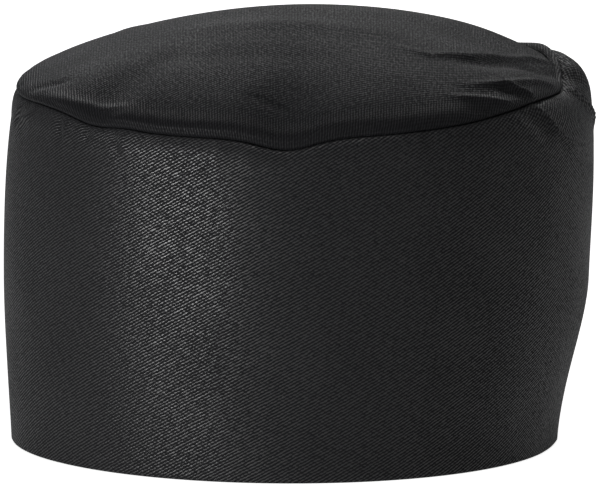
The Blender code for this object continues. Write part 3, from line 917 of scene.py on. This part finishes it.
def elastic_material():
    """Black woven elastic: ribs of covered rubber that run round the cap, with a knitted face between."""
    material, tree, shader = new_material("black_woven_elastic")
    where = object_place(tree)
    parts = add_node(tree, "ShaderNodeSeparateXYZ", Vector=where)
    ribs = math_node(tree, "SINE", math_node(tree, "MULTIPLY", parts.outputs[2], math.tau / 0.0016))
    fuzz = noise(tree, where, 2600.0, 3.0)
    height = math_node(tree, "MULTIPLY_ADD", ribs, 0.4, fuzz)
    blend_colour(tree, shader, height, "#101012", "#2C2C30")
    raise_bumps(tree, shader, 1.0, 0.0002, height)
    shader.inputs["Roughness"].default_value = 0.62
    return material


def interfacing_material():
    """Grey non-woven interfacing: pressed fibres in all directions, with a matte felted look."""
    material, tree, shader = new_material("grey_nonwoven_interfacing")
    felt = {"Scale": 900.0, "Detail": 6.0, "Distortion": 2.5}
    fibres = add_node(tree, "ShaderNodeTexNoise", Vector=object_place(tree), **felt).outputs[0]
    blend_colour(tree, shader, fibres, "#6E6E70", "#B4B4B6")
    raise_bumps(tree, shader, 0.8, 0.0002, fibres)
    shader.inputs["Roughness"].default_value = 0.9
    return material


def floor_material(look):
    """Matt white studio paper. The camera sees it lifted to white; the cap's shadow stays on it."""
    material, tree, shader = new_material("white_studio_paper")
    shader.inputs["Base Color"].default_value = hex_colour(look.floor)
    shader.inputs["Roughness"].default_value = 0.9
    rays = add_node(tree, "ShaderNodeLightPath")
    # Besides the lift seen by the camera, the floor glows to every ray: painted light standing in for the
    # light it bounces onto the cap.
    lift = math_node(tree, "MULTIPLY_ADD", rays.outputs["Is Camera Ray"], look.floor_lift, look.floor_glow)
    shader.inputs["Emission Color"].default_value = (1.0, 1.0, 1.0, 1.0)
    tree.links.new(lift, shader.inputs["Emission Strength"])
    return material


def dress(obj, material):
    """Gives an object one material in place of any that it has."""
    obj.data.materials.clear()
    obj.data.materials.append(material)


def sew(name, node, threads, material):
    """Makes one piece of stitching from its threads, in place of its CAD node."""
    vertices, faces = joined(threads)
    piece = make_object(name, vertices, faces, "cap")
    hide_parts(node)
    dress(piece, material)


def shared_material(name, maker, *values):
    """A material that several pieces share, made once."""
    return bpy.data.materials.get(name) or maker(*values)


# ---- The add-on: properties, operators and panel ----


class ClothLook(bpy.types.PropertyGroup):
    """Colours and weave of the cap's materials."""

    wale: bpy.props.StringProperty(
        name="Wale", description="Colour of the twill's raised lines", default="#1C1C1E"
    )
    # The groove colour is painted shade: the black cloth made darker where its grooves lie in shadow.
    groove_shade: bpy.props.StringProperty(name="Groove", description="Colour between the lines", default="#151517")
    thread: bpy.props.StringProperty(
        name="Thread", description="Colour of the sewing thread", default="#2A2A2E"
    )
    label: bpy.props.StringProperty(name="Label", description="Colour of the labels", default="#ECEAE4")
    twill_pitch: bpy.props.FloatProperty(
        name="Twill pitch",
        description="Distance between the twill's lines",
        default=0.0009,
        min=0.0003,
        unit="LENGTH",
        precision=5,
    )
    twill_angle: bpy.props.FloatProperty(
        name="Twill angle",
        description="Slope of the twill's lines on the band",
        default=math.radians(28.0),
        subtype="ANGLE",
    )
    relief: bpy.props.FloatProperty(
        name="Relief",
        description="Depth of the weave",
        default=0.00013,
        min=0.0,
        unit="LENGTH",
        precision=5,
    )
    slub: bpy.props.FloatProperty(name="Slub", description="Unevenness of the yarn", default=0.8, min=0.0)
    grain: bpy.props.FloatProperty(
        name="Grain", description="Fine unevenness of the fibres", default=0.5, min=0.0
    )
    roughness: bpy.props.FloatProperty(
        name="Roughness", description="Roughness of the twill's raised lines", default=0.37, min=0.0, max=1.0
    )
    gloss: bpy.props.FloatProperty(
        name="Gloss", description="How much light the raised lines mirror", default=0.85, min=0.0, max=1.0
    )
    crown_gloss: bpy.props.FloatProperty(
        name="Crown gloss", description="The same on the pressed crown", default=0.24, min=0.0, max=1.0
    )
    sheen: bpy.props.FloatProperty(
        name="Sheen", description="Soft glow of the cloth at its edges", default=0.05, min=0.0, max=1.0
    )


class StageLook(bpy.types.PropertyGroup):
    """Camera, lamps and floor."""

    azimuth: bpy.props.FloatProperty(
        name="Azimuth",
        description="Where the camera stands, from the front towards +X",
        default=math.radians(VIEW_AZIMUTH),
        subtype="ANGLE",
    )
    elevation: bpy.props.FloatProperty(
        name="Elevation",
        description="How far the camera looks down",
        default=math.radians(8.6),
        subtype="ANGLE",
    )
    distance: bpy.props.FloatProperty(
        name="Distance", description="From the camera to the cap", default=3.2, min=0.5, unit="LENGTH"
    )
    frame_width: bpy.props.FloatProperty(
        name="Frame width", description="Width of the view at the cap", default=0.192, min=0.05, unit="LENGTH"
    )
    floor: bpy.props.StringProperty(name="Floor", description="Colour of the floor", default="#F4F4F4")
    floor_lift: bpy.props.FloatProperty(
        name="Floor lift", description="How much brighter the camera sees the floor", default=0.72, min=0.0
    )
    # Emission of the floor for every ray: a painted glow standing in for the light the floor bounces.
    floor_glow: bpy.props.FloatProperty(
        name="Floor glow", description="Light that the white floor gives back", default=0.13, min=0.0
    )
    fill: bpy.props.FloatProperty(
        name="Fill", description="Strength of the pale surroundings", default=0.026, min=0.0
    )


CROWN_COLUMNS, CROWN_ROWS = 480, 70
BAND_COLUMNS = 476


class SKULLCAP_OT_crown(bpy.types.Operator):
    """Make the round crown panel, with its dome, its overhang at the front and its creases"""

    bl_idname = "skullcap.crown"
    bl_label = "Crown panel"

    def execute(self, context):
        look = context.scene.skullcap_cloth
        bearing, points, pole = crown_middle(CROWN_COLUMNS, CROWN_ROWS)
        steps = np.linalg.norm(np.diff(points, axis=0), axis=2)
        from_pole = steps[::-1].cumsum(axis=0)[::-1]
        last = np.linalg.norm(points[-1] - pole, axis=1)
        radius = np.concatenate([from_pole, np.zeros((1, points.shape[1]))]) + last
        turn = np.radians(bearing - math.degrees(look.twill_angle) - CROWN_GRAIN)
        uv = np.stack([radius * np.sin(turn), -radius * np.cos(turn)], axis=-1)
        vertices, faces, uv = cloth_shell(points, uv, CLOTH, wrap=True, pole=pole, pole_uv=np.zeros(2))
        faces = turned_outward(vertices, faces)
        crown = make_object("crown_cloth", vertices, faces, "cap", uv)
        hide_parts("crown_panel")
        gloss = (0.10, look.crown_gloss)
        dress(crown, twill_material(look, "black_cotton_twill_pressed", PRESSED_RADIUS, gloss, (0.7, 0.45)))
        return {"FINISHED"}


class SKULLCAP_OT_band(bpy.types.Operator):
    """Make the folded side band, with its shoulder, seam allowance, gathers and creases"""

    bl_idname = "skullcap.band"
    bl_label = "Side band"

    def execute(self, context):
        look = context.scene.skullcap_cloth
        points, uv = band_middle(BAND_COLUMNS)
        vertices, faces, uv = cloth_shell(points, uv, CLOTH, wrap=False)
        faces = turned_outward(vertices, faces)
        band = make_object("band_cloth", vertices, faces, "cap", uv)
        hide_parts("side_band")
        gloss, roughness = (0.22, look.gloss), (0.9, look.roughness)
        dress(band, twill_material(look, "black_cotton_twill", 0.0, gloss, roughness))
        return {"FINISHED"}


class SKULLCAP_OT_seams(bpy.types.Operator):
    """Make the crown seam's lockstitch and overlock"""

    bl_idname = "skullcap.seams"
    bl_label = "Crown seam stitching"

    def execute(self, context):
        look = context.scene.skullcap_cloth
        finish = shared_material("black_spun_polyester_thread", thread_material, look)
        sew("crown_seam_stitches", "crown_seam_thread", [crown_seam_row()], finish)
        edging = [overlock_loops(), overlock_chain()]
        sew("crown_seam_overlock_loops", "crown_seam_overlock", edging, finish)
        return {"FINISHED"}


class SKULLCAP_OT_casing(bpy.types.Operator):
    """Make the elastic casing's stitch rows and the tacks over the elastic's ends"""

    bl_idname = "skullcap.casing"
    bl_label = "Casing stitching"

    def execute(self, context):
        look = context.scene.skullcap_cloth
        finish = shared_material("black_spun_polyester_thread", thread_material, look)
        rows = (
            ("casing_needle_thread_lower", ROW_LOW, True),
            ("casing_needle_thread_upper", ROW_HIGH, True),
            ("casing_bobbin_thread_lower", ROW_LOW, False),
            ("casing_bobbin_thread_upper", ROW_HIGH, False),
        )
        for node, height, outside in rows:
            sew(node + "_stitches", node, [casing_row(height, outside)], finish)
        for node in ("elastic_tack_right", "elastic_tack_left"):
            low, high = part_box(node)
            x, y = (low.x + high.x) / 2, (low.y + high.y) / 2 - AXIS_Y
            bearing = math.degrees(math.atan2(x, -y)) % 360.0
            sew(node + "_bar", node, [tack_bar(bearing, True), tack_bar(bearing, False)], finish)
        return {"FINISHED"}


# The labels: (name, CAD node, curl, how far it reaches above the node, how far it lies behind it), in metres.
LABELS = (
    ("care_ribbon", "care_label", 0.0006, 0.0009, 0.0),
    ("size_ribbon", "size_tab", 0.0002, 0.0, -0.0011),
)


class SKULLCAP_OT_labels(bpy.types.Operator):
    """Make the blank care label and the size tab sewn onto it"""

    bl_idname = "skullcap.labels"
    bl_label = "Labels"

    def execute(self, context):
        finish = shared_material("white_polyester_satin", satin_material, context.scene.skullcap_cloth)
        for name, node, curl, grow, offset in LABELS:
            low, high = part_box(node)
            width, length = high.x - low.x, high.z - low.z
            centre = ((low.x + high.x) / 2, (low.y + high.y) / 2 + offset)
            vertices, faces, uv = folded_ribbon(width, length + grow, high.z + grow, centre, curl)
            ribbon = make_object(name, vertices, turned_outward(vertices, faces), "label_flap", uv)
            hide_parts(node)
            dress(ribbon, finish)
        return {"FINISHED"}


class SKULLCAP_OT_inside(bpy.types.Operator):
    """Finish the pieces that the band holds: interfacing, elastic and the centre back seam"""

    bl_idname = "skullcap.inside"
    bl_label = "Held pieces"

    def execute(self, context):
        look = context.scene.skullcap_cloth
        dress(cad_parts["band_interfacing"], interfacing_material())
        dress(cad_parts["back_elastic"], elastic_material())
        thread = shared_material("black_spun_polyester_thread", thread_material, look)
        dress(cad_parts["centre_back_seam_thread"], thread)
        return {"FINISHED"}


# The lamps: (name, azimuth from the camera, elevation, distance, width, height, watts).
LAMPS = (
    ("key_softbox", -46.0, 0.5, 1.8, 1.0, 0.22, 22.0),
    ("top_softbox", 5.0, 66.0, 1.6, 1.2, 0.7, 6.2),
    ("rim_softbox", 120.0, 20.0, 1.8, 0.6, 1.2, 1.9),
    ("back_softbox", 181.0, 34.0, 1.8, 1.4, 0.6, 8.2),
)


def aim(obj, target):
    """Turns a lamp or camera at its place so that it looks at the target."""
    direction = target - obj.location
    obj.rotation_euler = direction.to_track_quat("-Z", "Y").to_euler()


def spot_on_sphere(centre, azimuth, elevation, distance):
    """The place at a distance from centre, at an azimuth from the front towards +X and an elevation."""
    level = distance * math.cos(elevation)
    step = (level * math.sin(azimuth), -level * math.cos(azimuth), distance * math.sin(elevation))
    return centre + Vector(step)


LOOK_AT = (0.0, AXIS_Y, 0.060)
VIEW_SHIFT = (0.00096, 0.00176)  # sideways and upwards, so that the cap stands well in the frame
SENSOR = 36.0
FLOOR_SIZE = 14.0


class SKULLCAP_OT_stage(bpy.types.Operator):
    """Set up the white floor, the soft lamps, the world and the camera"""

    bl_idname = "skullcap.stage"
    bl_label = "Studio"

    def execute(self, context):
        look = context.scene.skullcap_stage
        bpy.ops.mesh.primitive_plane_add(size=FLOOR_SIZE)
        floor = context.object
        floor.name = "studio_floor"
        dress(floor, floor_material(look))
        centre = Vector(LOOK_AT)
        for name, azimuth, elevation, distance, width, height, watts in LAMPS:
            data = bpy.data.lights.new(name, "AREA")
            data.shape = "RECTANGLE"
            data.size, data.size_y = width, height
            data.energy = watts
            lamp = bpy.data.objects.new(name, data)
            context.scene.collection.objects.link(lamp)
            turn = look.azimuth + math.radians(azimuth)
            lamp.location = spot_on_sphere(centre, turn, math.radians(elevation), distance)
            aim(lamp, centre)
        world = context.scene.world or bpy.data.worlds.new("studio_world")
        context.scene.world = world
        world.use_nodes = True
        background = world.node_tree.nodes["Background"]
        background.inputs["Color"].default_value = (1.0, 1.0, 1.0, 1.0)
        background.inputs["Strength"].default_value = look.fill
        data = bpy.data.cameras.new("studio_camera")
        data.sensor_width = SENSOR
        data.lens = SENSOR * look.distance / look.frame_width
        camera = bpy.data.objects.new("studio_camera", data)
        context.scene.collection.objects.link(camera)
        camera.location = spot_on_sphere(centre, look.azimuth, look.elevation, look.distance)
        sideways, upwards = VIEW_SHIFT
        right = Vector((math.cos(look.azimuth), math.sin(look.azimuth), 0.0))
        aim(camera, centre + sideways * right + Vector((0.0, 0.0, upwards)))
        context.scene.camera = camera
        context.scene.view_settings.view_transform = "Standard"
        return {"FINISHED"}


class SKULLCAP_PT_panel(bpy.types.Panel):
    """Skull cap tools"""

    bl_idname = "SKULLCAP_PT_panel"
    bl_label = "Skull Cap"
    bl_space_type = "VIEW_3D"
    bl_region_type = "UI"
    bl_category = "Skull Cap"

    def draw(self, context):
        for operator in OPERATORS:
            self.layout.operator(operator.bl_idname)
        for group in (context.scene.skullcap_cloth, context.scene.skullcap_stage):
            box = self.layout.box()
            for name in group.bl_rna.properties.keys():
                if name not in ("rna_type", "name"):
                    box.prop(group, name)


OPERATORS = (
    SKULLCAP_OT_crown,
    SKULLCAP_OT_band,
    SKULLCAP_OT_seams,
    SKULLCAP_OT_casing,
    SKULLCAP_OT_labels,
    SKULLCAP_OT_inside,
    SKULLCAP_OT_stage,
)
CLASSES = (ClothLook, StageLook, *OPERATORS, SKULLCAP_PT_panel)


def register():
    """Registers the add-on's classes and its two groups of settings."""
    for item in CLASSES:
        bpy.utils.register_class(item)
    bpy.types.Scene.skullcap_cloth = bpy.props.PointerProperty(type=ClothLook)
    bpy.types.Scene.skullcap_stage = bpy.props.PointerProperty(type=StageLook)


def unregister():
    """Undoes what register does."""
    del bpy.types.Scene.skullcap_cloth
    del bpy.types.Scene.skullcap_stage
    for item in reversed(CLASSES):
        bpy.utils.unregister_class(item)


def main():
    """Makes the whole cap and its studio."""
    register()
    bpy.ops.skullcap.crown()
    bpy.ops.skullcap.band()
    bpy.ops.skullcap.seams()
    bpy.ops.skullcap.casing()
    bpy.ops.skullcap.labels()
    bpy.ops.skullcap.inside()
    bpy.ops.skullcap.stage()


if __name__ == "__main__":
    main()
